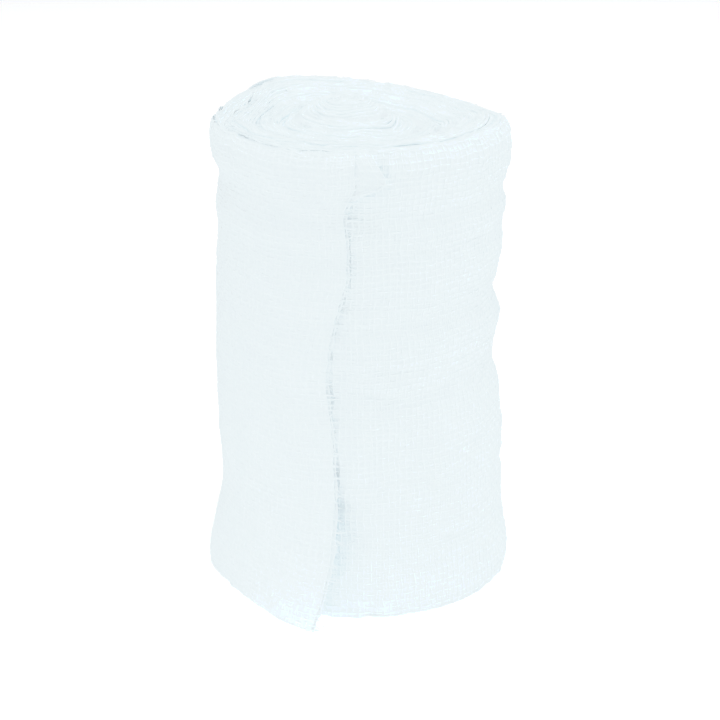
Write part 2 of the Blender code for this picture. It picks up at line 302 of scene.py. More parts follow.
def near_top(level):
    """0 below the leaning edge, 1 at the very top."""
    return np.clip((level - CLOTH_WIDTH) / TOP_LEAN_HEIGHT + 1.0, 0.0, 1.0) ** 2


def top_lean(angle, level):
    return curve(TOP_LEANS, angle % 360.0) * near_top(level)


def base_lean(level):
    return BASE_LEAN * np.clip(1.0 - level / BASE_LEAN_HEIGHT, 0.0, 1.0) ** 2


def plain_radius(turned):
    return ROLL_RADIUS + LAYER * (turned / 360.0 - 1.0)


def flare(angle, level):
    taller = ease((angle - FLARE_TALLER_FROM) / FLARE_TALLER_OVER)
    height = FLARE_HEIGHT_LEFT + (FLARE_HEIGHT_CUT - FLARE_HEIGHT_LEFT) * taller
    return curve(FLOOR_FLARE, angle) * ease(1.0 - level / height)


def settle(angle, level):
    return CUT_SETTLE * ease((angle - curve(UPPER_CUT, level)) / CUT_SETTLE_SPAN + 1.0)


def corner_lift(angle, level):
    lift = CORNER_LIFT * bump((angle - CORNER_ANGLE) / CORNER_SPAN)
    lip = LIP_LIFT * ease((angle - curve(CUT_EDGE, level)) / LIP_SPAN + 1.0)
    return (lift + lip) * bump((level - CORNER_LEVEL) / CORNER_HEIGHT)


def pocket(turned, level):
    across = bump(2.0 * turned / POCKET_SPAN - 1.0)
    return POCKET_DEPTH * across * ease(1.0 - (CLOTH_WIDTH - level) / POCKET_HEIGHT)


def rim_height(angle):
    return curve(RIM_HEIGHTS, angle % 360.0)


def cloth_radius(turned, level):
    """Outer face of the cloth on the roll's last turn and on the loose end."""
    angle = LIFT_ANGLE + turned
    free = flare(angle - 360.0, level) + corner_lift(angle - 360.0, level) - settle(angle - 360.0, level)
    lean = top_lean(angle, level) * (1.0 - (1.0 - LOOSE_LEAN) * ease((turned - 360.0) / LOOSE_LEAN_OVER))
    radius = plain_radius(turned) + side_offset(angle, level) + crinkle(turned, level) - lean
    return np.where(turned > 360.0, radius + free, radius - pocket(turned, level) - base_lean(level))


def cloth_height(turned, level):
    angle = LIFT_ANGLE + turned
    edge = np.where(turned > 360.0, curve(TOP_EDGE, angle - 360.0), 0.0)
    upper = ease((level - CLOTH_WIDTH) / RAGGED_HEIGHT + 1.0)
    ragged = unevenness(arc(turned), 0.0, RAGGED_WAVES) * upper
    drop = TOP_LEAN_DROP * near_top(level)
    return level * (rim_height(angle) + edge) / CLOTH_WIDTH + ragged - drop


def polar(radius, angle, height):
    turn = np.radians(angle)
    return np.stack(np.broadcast_arrays(radius * np.cos(turn), radius * np.sin(turn), height), -1)


def cloth_point(turned, level, outward=0.0):
    """A point of the cloth; outward is measured from its outer face."""
    turned, level = np.broadcast_arrays(np.asarray(turned, float), np.asarray(level, float))
    radius = cloth_radius(turned, level) + outward
    return polar(radius, LIFT_ANGLE + turned, cloth_height(turned, level))


# ---------------------------------------------------------------- meshes

def mesh_object(name, points, quads, triangles=(), uv=None, material=None):
    """An object from points in mm, faces of four and of three, and one UV pair for each point."""
    points = np.asarray(points, float).reshape(-1, 3)
    quads = np.asarray(quads, np.int64).reshape(-1, 4)
    triangles = np.asarray(triangles, np.int64).reshape(-1, 3)
    corners = np.concatenate([quads.ravel(), triangles.ravel()])
    sizes = np.concatenate([np.full(len(quads), 4), np.full(len(triangles), 3)])
    starts = np.concatenate([[0], np.cumsum(sizes)[:-1]])
    mesh = bpy.data.meshes.new(name)
    mesh.vertices.add(len(points))
    mesh.vertices.foreach_set("co", (points * MM).astype(np.float32).ravel())
    mesh.loops.add(len(corners))
    mesh.loops.foreach_set("vertex_index", corners.astype(np.int32))
    mesh.polygons.add(len(sizes))
    mesh.polygons.foreach_set("loop_start", starts.astype(np.int32))
    mesh.polygons.foreach_set("loop_total", sizes.astype(np.int32))
    if uv is not None:
        layer = mesh.uv_layers.new(name="cloth")
        layer.data.foreach_set("uv", np.asarray(uv, float).reshape(-1, 2)[corners].astype(np.float32).ravel())
    mesh.update(calc_edges=True)
    mesh.validate()
    mesh.shade_smooth()
    if material is not None:
        mesh.materials.append(material)
    piece = bpy.data.objects.new(name, mesh)
    bpy.context.scene.collection.objects.link(piece)
    return piece


def declare(piece, solid):
    """Attach the piece to the root and hide the solid that it stands for."""
    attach(piece, "root")
    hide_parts(solid)


def unit(vectors):
    return vectors / np.maximum(np.linalg.norm(vectors, axis=-1, keepdims=True), 1e-9)


def tubes(paths, outward, radius, sides=THREAD_SIDES, flatness=THREAD_FLATNESS):
    """Closed threads along paths of shape (threads, points, 3), a little flattened against the cloth."""
    paths = np.asarray(paths, float)
    threads, steps = paths.shape[:2]
    along = unit(np.gradient(paths, axis=1))
    across = unit(np.cross(along, outward))
    out = np.cross(across, along)
    turn = 2.0 * math.pi * (np.arange(sides) + 0.5) / sides
    radius = np.broadcast_to(radius, (threads, steps))[..., None, None]
    ring = out[:, :, None] * (flatness * np.cos(turn))[:, None] + across[:, :, None] * np.sin(turn)[:, None]
    points = (paths[:, :, None] + radius * ring).reshape(-1, 3)
    number = np.arange(threads * steps * sides).reshape(threads, steps, sides)
    beside = np.roll(number, -1, axis=2)
    walls = np.stack([number[:, :-1], number[:, 1:], beside[:, 1:], beside[:, :-1]], -1).reshape(-1, 4)
    fans = []
    for end, order in ((number[:, 0], 1), (number[:, -1], -1)):
        for side in range(1, sides - 1):
            fans.append(np.stack([end[:, 0], end[:, side], end[:, side + 1]], -1)[:, ::order])
    return points, walls, np.concatenate(fans)


def join(parts):
    """Several (points, quads, triangles) as one."""
    points, quads, triangles, count = [], [], [], 0
    for some_points, some_quads, some_triangles in parts:
        points.append(some_points)
        quads.append(np.asarray(some_quads).reshape(-1, 4) + count)
        triangles.append(np.asarray(some_triangles).reshape(-1, 3) + count)
        count += len(some_points)
    return np.concatenate(points), np.concatenate(quads), np.concatenate(triangles)


def grid_faces(rows, columns, first=0):
    number = first + np.arange(rows * columns).reshape(rows, columns)
    faces = np.stack([number[:-1, :-1], number[:-1, 1:], number[1:, 1:], number[1:, :-1]], -1)
    return faces.reshape(-1, 4)


def closed_sheet_faces(rows, columns):
    """Faces of a thin sheet whose outer grid of points comes first and whose inner grid follows."""
    count = rows * columns
    front = grid_faces(rows, columns)
    back = grid_faces(rows, columns, count)[:, ::-1]
    number = np.arange(count).reshape(rows, columns)
    rim = np.concatenate([number[0, :-1], number[:-1, -1], number[-1, :0:-1], number[:0:-1, 0]])
    beyond = np.roll(rim, -1)
    edge = np.stack([rim, rim + count, beyond + count, beyond], -1)
    return np.concatenate([front, back, edge])


# ---------------------------------------------------------------- materials

COTTON = {"Roughness": 0.94, "Specular IOR Level": 0.12, "Sheen Weight": 0.25, "Sheen Roughness": 0.6}
BLOTCH = {"Scale": 260.0, "Detail": 4.0}
BLOTCH_STOPS = (0.32, 0.66)
FIBRE = {"Scale": 5200.0, "Detail": 3.0}
FIBRE_BUMP = {"Strength": 0.35, "Distance": 0.00008}
WEAVE_BUMP = {"Strength": 0.6, "Distance": 0.00025}
# The two plies that show through the outer weave: turn in degrees, spacing of the upright threads and
# of the level threads, scale of their drift
NEAR_PLY = (1.5, WEFT_PITCH, WARP_PITCH, 0.30)
DEEP_PLY = (-3.0, 1.04 * WEFT_PITCH, 1.07 * WARP_PITCH, 0.22)
DEEP_STRENGTH = 0.55
DRIFT_SHARE = 0.6
THREAD_SHARPNESS = 4.0        # the power that makes a wave into a thin thread
WHITE = (0.906, 0.965, 0.984)
SHADE = (0.885, 0.948, 0.973)
# painted shade: the holes between the threads of the plies underneath are darker, where the deeper plies lie
# in shade
PAINTED_HOLE_SHADE = (0.86, 0.925, 0.955)
THREAD_WHITE = (0.912, 0.968, 0.986)
THREAD_SHADE = (0.89, 0.951, 0.975)


def node(tree, kind, values=None, **settings):
    """A new node with the values of its own sockets and its settings."""
    made = tree.nodes.new(kind)
    for name, value in settings.items():
        setattr(made, name, value)
    for name, value in (values or {}).items():
        made.inputs[name].default_value = value
    return made


def cotton(name, colour, shade, weave):
    """Cool white cotton: random blotches of a darker tone and fine fibre bump; on plain cloth also the
    threads of the plies underneath, with painted shade in the holes between them.
    """
    material = bpy.data.materials.new(name)
    material.use_nodes = True
    tree = material.node_tree
    shader = tree.nodes["Principled BSDF"]
    for setting, value in COTTON.items():
        shader.inputs[setting].default_value = value
    place = node(tree, "ShaderNodeTexCoord")
    blotch = node(tree, "ShaderNodeTexNoise", BLOTCH)
    tree.links.new(place.outputs["Object"], blotch.inputs["Vector"])
    ramp = node(tree, "ShaderNodeValToRGB")
    for stop, position, tone in zip(ramp.color_ramp.elements, BLOTCH_STOPS, (shade, colour)):
        stop.position = position
        stop.color = (*tone, 1.0)
    tree.links.new(blotch.outputs["Fac"], ramp.inputs["Fac"])
    fibre = node(tree, "ShaderNodeTexNoise", FIBRE)
    tree.links.new(place.outputs["Object"], fibre.inputs["Vector"])
    fibre_bump = node(tree, "ShaderNodeBump", FIBRE_BUMP)
    tree.links.new(fibre.outputs["Fac"], fibre_bump.inputs["Height"])
    tint, relief_bump = ramp, fibre_bump
    if weave:
        threads = plies_below(tree)
        # painted shade in the holes between the threads underneath; on the threads the cloth keeps its own
        # colour
        tint = node(tree, "ShaderNodeMixRGB", {"Color1": (*PAINTED_HOLE_SHADE, 1.0)}, blend_type="MIX")
        tree.links.new(threads.outputs["Value"], tint.inputs["Fac"])
        tree.links.new(ramp.outputs["Color"], tint.inputs["Color2"])
        relief_bump = node(tree, "ShaderNodeBump", WEAVE_BUMP)
        tree.links.new(threads.outputs["Value"], relief_bump.inputs["Height"])
        tree.links.new(fibre_bump.outputs["Normal"], relief_bump.inputs["Normal"])
    tree.links.new(tint.outputs["Color"], shader.inputs["Base Color"])
    tree.links.new(relief_bump.outputs["Normal"], shader.inputs["Normal"])
    return material


def math_node(tree, operation, first, second=None):
    """A Math node; each input is a socket or a number."""
    made = node(tree, "ShaderNodeMath", operation=operation)
    for place, value in enumerate((first, second)):
        if isinstance(value, bpy.types.NodeSocket):
            tree.links.new(value, made.inputs[place])
        elif value is not None:
            made.inputs[place].default_value = value
    return made


def thread_grid(tree, cloth, turn, weft_pitch, warp_pitch, drift_scale):
    """The threads of one ply underneath, from the cloth's UV map in millimetres: 1 on a thread."""
    laid = node(tree, "ShaderNodeMapping", {"Rotation": (0.0, 0.0, math.radians(turn))})
    tree.links.new(cloth.outputs["UV"], laid.inputs["Vector"])
    drift = node(tree, "ShaderNodeTexNoise", {"Scale": drift_scale, "Detail": 2.0})
    tree.links.new(laid.outputs["Vector"], drift.inputs["Vector"])
    moved = node(tree, "ShaderNodeMixRGB", {"Fac": DRIFT_SHARE}, blend_type="LINEAR_LIGHT")
    tree.links.new(laid.outputs["Vector"], moved.inputs["Color1"])
    tree.links.new(drift.outputs["Color"], moved.inputs["Color2"])
    split = node(tree, "ShaderNodeSeparateXYZ")
    tree.links.new(moved.outputs["Color"], split.inputs["Vector"])
    rows = []
    for axis, pitch in (("X", weft_pitch), ("Y", warp_pitch)):
        turns = math_node(tree, "MULTIPLY", split.outputs[axis], math.pi / pitch)
        wave = math_node(tree, "SINE", turns.outputs["Value"])
        size = math_node(tree, "ABSOLUTE", wave.outputs["Value"])
        rows.append(math_node(tree, "POWER", size.outputs["Value"], THREAD_SHARPNESS))
    return math_node(tree, "MAXIMUM", rows[0].outputs["Value"], rows[1].outputs["Value"])


def plies_below(tree):
    """The threads of the next two plies, the deeper one fainter."""
    cloth = node(tree, "ShaderNodeUVMap", uv_map="cloth")
    near = thread_grid(tree, cloth, *NEAR_PLY)
    deep = thread_grid(tree, cloth, *DEEP_PLY)
    fainter = math_node(tree, "MULTIPLY", deep.outputs["Value"], DEEP_STRENGTH)
    return math_node(tree, "MAXIMUM", near.outputs["Value"], fainter.outputs["Value"])


CLOTH = cotton("gauze_cloth", WHITE, SHADE, weave=True)
THREAD = cotton("gauze_thread", THREAD_WHITE, THREAD_SHADE, weave=False)


# ---------------------------------------------------------------- camera, stage and light

def make_camera():
    data = bpy.data.cameras.new("camera")
    data.lens = LENS
    data.sensor_width = SENSOR
    data.clip_start = 0.01
    data.clip_end = 20.0
    camera = bpy.data.objects.new("camera", data)
    camera.location = (0.0, -CAMERA_DISTANCE * MM, CAMERA_HEIGHT * MM)
    camera.rotation_euler = (math.radians(90.0 - CAMERA_PITCH), 0.0, 0.0)
    bpy.context.scene.collection.objects.link(camera)
    bpy.context.scene.camera = camera


def area_light(name, place, size, power):
    data = bpy.data.lights.new(name, "AREA")
    data.shape = "DISK"
    data.size = size
    data.energy = power
    light = bpy.data.objects.new(name, data)
    light.location = place
    light.rotation_euler = (Vector(LIGHT_AIM) - Vector(place)).to_track_quat("-Z", "Y").to_euler()
    bpy.context.scene.collection.objects.link(light)


LIGHT_BOUNCES = 12            # white cotton keeps passing light on
FLOOR_SIZE = 6.0              # metres
PAPER = {
    "Base Color": (0.80, 0.803, 0.806, 1.0), "Roughness": 1.0, "Specular IOR Level": 0.0,
    "Emission Color": (1.0, 1.0, 1.0, 1.0),
}
SKY_LIGHT = 0.67
# Light and tone of red, green and blue. The bright end is soft, as in a very bright photograph.
TONE_CURVES = (
    ((0.58, 0.65), (0.75, 0.798), (0.88, 0.857), (0.95, 0.895)),
    ((0.655, 0.725), (0.825, 0.874), (0.955, 0.931), (0.985, 0.951)),
    ((0.68, 0.75), (0.85, 0.898), (0.975, 0.951), (0.992, 0.966)),
)
LIGHT_AIM = (0.0, 0.0, 0.05)
# name, place in metres, width, power
LIGHTS = (
    ("left", (-0.95, -0.30, 0.50), 0.4, 0.60),
    ("front", (0.05, -1.00, 0.45), 0.5, 0.45),
    ("right", (0.98, -0.22, 0.26), 0.3, 0.95),
    ("overhead", (0.05, -0.08, 1.05), 0.5, 3.30),
)
FLOOR_LIGHT = 0.32            # the pale floor glows evenly as well
GLOW_LIGHT = 0.36             # painted light: the floor glows more in a pool round a place in front of the roll, which lights the roll's foot
GLOW_X = -14.0
GLOW_Y = -46.0
GLOW_RADIUS = 66.0


def pale_floor():
    """Matt paper that glows evenly, and more in a painted pool of light in front of the roll."""
    paper = bpy.data.materials.new("pale_floor")
    paper.use_nodes = True
    tree = paper.node_tree
    shader = tree.nodes["Principled BSDF"]
    for setting, value in PAPER.items():
        shader.inputs[setting].default_value = value
    place = node(tree, "ShaderNodeTexCoord")
    laid = node(tree, "ShaderNodeMapping", {
        "Location": (-GLOW_X / GLOW_RADIUS, -GLOW_Y / GLOW_RADIUS, 0.0),
        "Scale": (1.0 / (GLOW_RADIUS * MM),) * 3,
    })
    tree.links.new(place.outputs["Object"], laid.inputs["Vector"])
    # painted pool of light: the floor's glow is strongest round a place in front of the roll
    glow = node(tree, "ShaderNodeTexGradient", gradient_type="QUADRATIC_SPHERE")
    tree.links.new(laid.outputs["Vector"], glow.inputs["Vector"])
    added = math_node(tree, "MULTIPLY", glow.outputs["Fac"], GLOW_LIGHT)
    strength = math_node(tree, "ADD", added.outputs["Value"], FLOOR_LIGHT)
    tree.links.new(strength.outputs["Value"], shader.inputs["Emission Strength"])
    return paper


def make_stage():
    """A pale floor under a bright even sky, with soft light from both sides, the front and above."""
    bpy.ops.mesh.primitive_plane_add(size=FLOOR_SIZE)
    floor = bpy.context.object
    floor.name = "floor"
    floor.data.materials.append(pale_floor())
    world = bpy.data.worlds.new("sky")
    world.use_nodes = True
    background = world.node_tree.nodes["Background"]
    background.inputs["Color"].default_value = (1.0, 1.0, 1.0, 1.0)
    background.inputs["Strength"].default_value = SKY_LIGHT
    bpy.context.scene.world = world
    for name, place, size, power in LIGHTS:
        area_light(name, place, size, power)
    scene = bpy.context.scene
    scene.view_settings.view_transform = "Standard"
    scene.view_settings.look = "None"
    scene.view_settings.use_curve_mapping = True
    tones = scene.view_settings.curve_mapping
    for channel, points in enumerate(TONE_CURVES):
        for light, tone in points:
            tones.curves[channel].points.new(light, tone)
    tones.update()
    scene.cycles.diffuse_bounces = LIGHT_BOUNCES
    scene.cycles.max_bounces = LIGHT_BOUNCES


# ---------------------------------------------------------------- the wound body

BODY_COLUMNS = 200
BODY_RINGS = 90
FACE_RINGS = 14
BODY_INSET = 0.21             # the plain cloth under the woven threads, in from the outer face
RIBBON_HEIGHT = 0.38          # how far the turns stand out of the end faces
SHARP_BEND = 50.0             # degrees


def edge_share(turned, plain):
    """How far out a plain radius lies, 1 at the roll's outline, which closes up smoothly at the loose end."""
    wrapped = turned % 360.0
    return plain / (plain_radius(wrapped) + LAYER * (1.0 - ease(wrapped / SEAM_SPAN)))


def end_place(turned, level, plain):
    """Where the winding that would be at this plain radius lies on an end face."""
    share = edge_share(turned, plain)
    angle = LIFT_ANGLE + turned
    shift = side_offset(angle, level) - pocket(turned % 360.0, level)
    lean = top_lean(angle, level) + base_lean(level)
    radius = plain + shift * share ** 2 - lean * share ** 5
    inward = 1.0 - share ** 2
    turn = np.radians(angle)
    return radius * np.cos(turn) + MIDDLE_X * inward, radius * np.sin(turn) + MIDDLE_Y * inward


def end_point(turned, level, plain, height):
    x, y = end_place(turned, level, plain)
    return np.stack(np.broadcast_arrays(x, y, height), -1)


def relief_turns(plain):
    """How many groups of turns lie inside a plain radius."""
    return RELIEF_TURNS * (plain - CORE_RADIUS) / (ROLL_RADIUS - LAYER - CORE_RADIUS)


def relief(turned, plain, groove):
    """How deep the gap between two loose groups of turns is here."""
    turns = relief_turns(plain)
    phase = turns - (turned % 360.0) / 360.0
    near = np.abs(phase - np.round(phase))
    inner = ease(turns - 1.0) * ease((RELIEF_TURNS + RELIEF_BEYOND - turns) / RELIEF_FADE)
    return groove * bump(near * GROOVE_SHARPNESS) * inner


def top_height(turned, plain):
    """Height of the upper end face at a plain radius."""
    angle = LIFT_ANGLE + turned
    share = edge_share(turned, plain)
    x, y = end_place(turned, np.full_like(turned, CLOTH_WIDTH), plain)
    drop = TOP_LEAN_DROP * ease((share - 1.0) / TOP_DROP_SHARE + 1.0)
    rim = (rim_height(angle) - CLOTH_WIDTH) * share ** 2 - drop
    sink = 1.0 + DISH_UNEVEN * np.cos(np.radians(angle - DISH_ANGLE))
    dish = DISH_DEPTH * sink * bump((share - DISH_MIDDLE) / DISH_SPREAD)
    aside = np.hypot(x - MIDDLE_X, y - MIDDLE_Y)
    mound = MOUND_HEIGHT * ease((MOUND_RADIUS - aside) / (MOUND_RADIUS - MOUND_TOP))
    turns = np.clip(relief_turns(plain), 0.0, RELIEF_TURNS - 0.001)
    first = turns.astype(int)
    lifts = np.array(TURN_LIFTS)
    lift = lifts[first] + (lifts[first + 1] - lifts[first]) * (turns - first)
    return CLOTH_WIDTH + rim - dish + mound + lift - relief(turned, plain, TOP_GROOVE)


def base_height(turned, plain):
    """Height of the lower end face: level on the surface, with the gaps between turns rising."""
    return relief(turned, plain, BASE_GROOVE)


def build_body():
    """The plain cloth of the roll's last turn, closed by the floors that the turns stand out of."""
    turned = np.linspace(0.0, 360.0, BODY_COLUMNS + 1)
    base_level = np.zeros_like(turned)
    top_level = np.full_like(turned, CLOTH_WIDTH)
    shares = np.linspace(0.0, 1.0, FACE_RINGS)[:-1]
    rings = []
    for share in shares:
        plain = plain_radius(turned) * share
        rings.append(end_point(turned, base_level, plain, base_height(turned, plain) + RIBBON_HEIGHT))
    for level in np.linspace(RIBBON_HEIGHT, CLOTH_WIDTH - RIBBON_HEIGHT, BODY_RINGS):
        rings.append(cloth_point(turned, level, -BODY_INSET))
    for share in shares[::-1]:
        plain = plain_radius(turned) * share
        rings.append(end_point(turned, top_level, plain, top_height(turned, plain) - RIBBON_HEIGHT))
    points = np.array(rings)
    rows, columns = points.shape[:2]
    number = np.arange(rows * columns).reshape(rows, columns)
    number[0] = number[0, 0]
    number[-1] = number[-1, 0]
    beside = np.roll(number, -1, axis=1)
    quads = np.stack([number[1:-2], beside[1:-2], beside[2:-1], number[2:-1]], -1).reshape(-1, 4)
    base = np.stack([number[0], beside[1], number[1]], -1)
    top = np.stack([number[-1], number[-2], beside[-2]], -1)
    uv = np.stack([np.broadcast_to(arc(turned), (rows, columns)), points[..., 2]], -1)
    body = mesh_object("wound_cloth", points, quads, np.concatenate([base, top]), uv, CLOTH)
    remove_loose(body)
    body.data.set_sharp_from_angle(angle=math.radians(SHARP_BEND))
    declare(body, "roll")


def remove_loose(piece):
    """Drop points that no face uses."""
    mesh = bmesh.new()
    mesh.from_mesh(piece.data)
    loose = [point for point in mesh.verts if not point.link_faces]
    bmesh.ops.delete(mesh, geom=loose, context="VERTS")
    mesh.to_mesh(piece.data)
    mesh.free()


# ---------------------------------------------------------------- the fine turns of the end faces

PLY_GAP = 0.65                # between the middles of two plies
PLY_INSET = 0.50              # from the cloth's outer face to the middle of the outer ply
PLY_THICKNESS = 0.62
INNER_TURNS = 21              # whole turns inside the last one
TIGHTEST_RADIUS = 1.5         # for the spacing of points
MIDDLE_HOLE = 0.3
RIBBON_STEP = 0.75            # along the cloth
RIBBON_ROOT = 0.4             # how far a ribbon goes down into the plain cloth
RIBBON_SINK = 0.1
# side from -1 to 1, rise from 0 to 1
RIBBON_SECTION = ((-0.95, 0.0), (-1.0, 0.62), (-0.55, 1.0), (0.55, 1.0), (1.0, 0.62), (0.95, 0.0))
RIBBON_END = ((0, 3, 2), (0, 2, 1), (0, 5, 3), (5, 4, 3))
DRIFT_WAVES = ((0.26, 9.0, 0),)                     # sideways, together with its neighbours
DRIFT_EDGE = 28.0             # the drift fades out towards this radius and towards the middle
DRIFT_EDGE_FADE = 3.0
DRIFT_MIDDLE_FADE = 5.0
SWAY_WAVES = ((0.04, 3.5, 1),)                      # sideways, on its own
TIP_WAVES = ((0.13, 34.0, 3), (0.06, 4.0, 5))       # up and down, on its own
FACE_WAVES = ((0.09, 8.0, 11),)                     # up and down, together
THICK_WAVES = ((0.18, 2.2, 7),)
TOP_TURNS_SEED = 101
BASE_TURNS_SEED = 131
THREAD_BEAD = 0.05            # each upright thread lifts a ribbon's edge


def ply_path(inset):
    """Degrees along the cloth and the plain radius of one ply, from the middle to the outer edge."""
    turned = [-360.0 * INNER_TURNS]
    while turned[-1] < 360.0:
        radius = max(plain_radius(turned[-1]), TIGHTEST_RADIUS)
        turned.append(turned[-1] + math.degrees(RIBBON_STEP / radius))
    turned = np.array(turned[:-1] + [360.0])
    return turned, np.maximum(plain_radius(turned) - inset, MIDDLE_HOLE)


# share of the hollow, top edge
SLACK_TURNS = (
    (0.10, 99.5), (0.23, 99.1), (0.36, 98.6), (0.50, 98.2), (0.64, 98.0), (0.78, 98.5), (0.90, 99.2),
)
SLACK_COLUMNS = 60
SLACK_ROWS = 9
SLACK_FROM = -3.0
SLACK_PAST = 4.0              # degrees beyond the hollow
SLACK_DEPTH = 16.0
SLACK_THICKNESS = 0.52
SLACK_THINNING = 0.4          # at the top edge
SLACK_FREE = 2.0              # where the hollow is this wide, its plies wave freely
SLACK_EDGE_WAVES = ((0.22, 9.0, 0), (0.07, 3.0, 1))
SLACK_FACE_WAVES = ((0.16, 9.0, 2),)
SLACK_SEED = 160
INNER_CLEAR = 0.1             # from the roll's outer face to the hollow
OUTER_CLEAR = 1.0             # from the loose layer's outer face to the hollow


def slack_turn(share, top, seed):
    """One ply that stands free in the hollow between the roll and its loose outer layer."""
    turned = np.linspace(SLACK_FROM, POCKET_SPAN + SLACK_PAST, SLACK_COLUMNS)[None, :]
    rise = np.linspace(0.0, 1.0, SLACK_ROWS)[:, None]
    ragged = unevenness(arc(turned), 0.0, SLACK_EDGE_WAVES, seed)
    level = top + ragged - SLACK_DEPTH * (1.0 - rise)
    turned = np.broadcast_to(turned, level.shape)
    inner = cloth_radius(turned, level) - INNER_CLEAR
    outer = cloth_radius(turned + 360.0, level) - OUTER_CLEAR
    wave = unevenness(arc(turned), level, SLACK_FACE_WAVES, seed)
    middle = inner + (outer - inner) * share + wave * ease((outer - inner) / SLACK_FREE)
    faces = []
    for side in (0.5, -0.5):
        radius = middle + side * SLACK_THICKNESS * (1.0 - SLACK_THINNING * rise ** 8)
        faces.append(polar(radius, LIFT_ANGLE + turned, cloth_height(turned, level)))
    points = np.concatenate([face.reshape(-1, 3) for face in faces])
    return points, closed_sheet_faces(*turned.shape), np.zeros((0, 3), int)


def ribbon_faces(count, around, facing):
    """Walls and ends of a ribbon of so many sections, each with so many points."""
    number = np.arange(count * around).reshape(count, around)
    beside = np.roll(number, -1, axis=1)
    walls = np.stack([number[:-1], beside[:-1], beside[1:], number[1:]], -1).reshape(-1, 4)
    first = [number[0, list(corners)] for corners in RIBBON_END]
    last = [number[-1, list(corners)][::-1] for corners in RIBBON_END]
    ends = np.array(first + last)
    if facing < 0:
        return walls[:, ::-1], ends[:, ::-1]
    return walls, ends


def build_turns(name, height_at, level, facing, seed, extra=()):
    """The edges of the wound plies as thin upright ribbons; facing is 1 at the top and -1 at the base."""
    parts = list(extra)
    for ply, inset in enumerate((PLY_INSET, PLY_INSET + PLY_GAP)):
        turned, plain = ply_path(inset)
        levels = np.full_like(turned, level)
        length = np.concatenate([[0.0], np.cumsum(np.diff(np.radians(turned)) * plain[1:])])
        x, y = end_place(turned, levels, plain)
        free = ease((DRIFT_EDGE - plain) / DRIFT_EDGE_FADE) * ease(plain / DRIFT_MIDDLE_FADE)
        drift = unevenness(x, y, DRIFT_WAVES, seed) * free
        plain = plain + drift + unevenness(length, 0.0, SWAY_WAVES, seed + ply)
        uneven = unevenness(length, 0.0, TIP_WAVES, seed + ply) + unevenness(x, y, FACE_WAVES, seed)
        uneven = uneven + THREAD_BEAD * np.sin(length * math.pi / WEFT_PITCH + ply)
        tip = height_at(turned, plain) + facing * (uneven - RIBBON_SINK)
        if facing < 0:
            tip = np.maximum(tip, 0.0)
        foot = height_at(turned, plain) - facing * (RIBBON_HEIGHT + RIBBON_ROOT)
        half = 0.5 * PLY_THICKNESS * (1.0 + unevenness(length, 0.0, THICK_WAVES, seed + ply))
        rings = np.stack([
            end_point(turned, levels, plain + side * half, foot + (tip - foot) * rise)
            for side, rise in RIBBON_SECTION
        ], 1)
        parts.append((rings.reshape(-1, 3), *ribbon_faces(*rings.shape[:2], facing)))
    piece = mesh_object(name, *join(parts), None, THREAD)
    declare(piece, "roll")


LINT_FIBRES = 2800
LINT_RADIUS = 0.022
LINT_STEPS = 5
LINT_SEED = 303
LINT_MARGIN = 0.4             # inside the rim
LINT_CURL = 1.3               # radians, the usual bend of a fibre
LINT_LENGTHS = (0.7, 2.6)
LINT_RISES = (0.10, 0.42)
LINT_START = 0.15             # a fibre starts this far up its arch
LINT_SINK = 0.10


def build_lint():
    """Loose cotton fibres that lie over the turns on the upper end and soften their edges."""
    rng = np.random.default_rng(LINT_SEED)
    turned = rng.uniform(0.0, 360.0, LINT_FIBRES)
    plain = (plain_radius(turned) - LINT_MARGIN) * np.sqrt(rng.uniform(0.0, 1.0, LINT_FIBRES))
    x, y = end_place(turned, np.full_like(turned, CLOTH_WIDTH), plain)
    height = top_height(turned, plain)
    heading = rng.uniform(0.0, 2.0 * math.pi, LINT_FIBRES)
    curl = rng.normal(0.0, LINT_CURL, LINT_FIBRES)
    length = rng.uniform(*LINT_LENGTHS, LINT_FIBRES)
    rise = rng.uniform(*LINT_RISES, LINT_FIBRES)
    points = []
    for share in np.linspace(0.0, 1.0, LINT_STEPS):
        way = heading + curl * share
        reach = length * (share - 0.5)
        lift = rise * np.sin(math.pi * (LINT_START + (1.0 - LINT_START) * share)) - LINT_SINK
        points.append(np.stack([x + reach * np.cos(way), y + reach * np.sin(way), height + lift], -1))
    paths = np.stack(points, 1)
    outward = np.broadcast_to(np.array([0.0, 0.0, 1.0]), paths.shape)
    piece = mesh_object("lint_top", *tubes(paths, outward, LINT_RADIUS, sides=3, flatness=1.0), None, THREAD)
    declare(piece, "roll")


# ---------------------------------------------------------------- woven threads

LOWEST_THREAD = 0.35
HIGHEST_THREAD = 99.5
TOP_MARGIN = 0.2              # no thread wanders closer to the top edge
LEVEL_JITTER = 0.16
SHIFT_JITTER = 0.17
SHIFT_DRAWS = 400             # one sideways shift for each upright thread, drawn at once
LEVEL_WAVES = ((0.22, 16.0, 2), (0.11, 5.0, 3))
SHIFT_WAVES = ((0.26, 18.0, 4), (0.15, 5.0, 5))


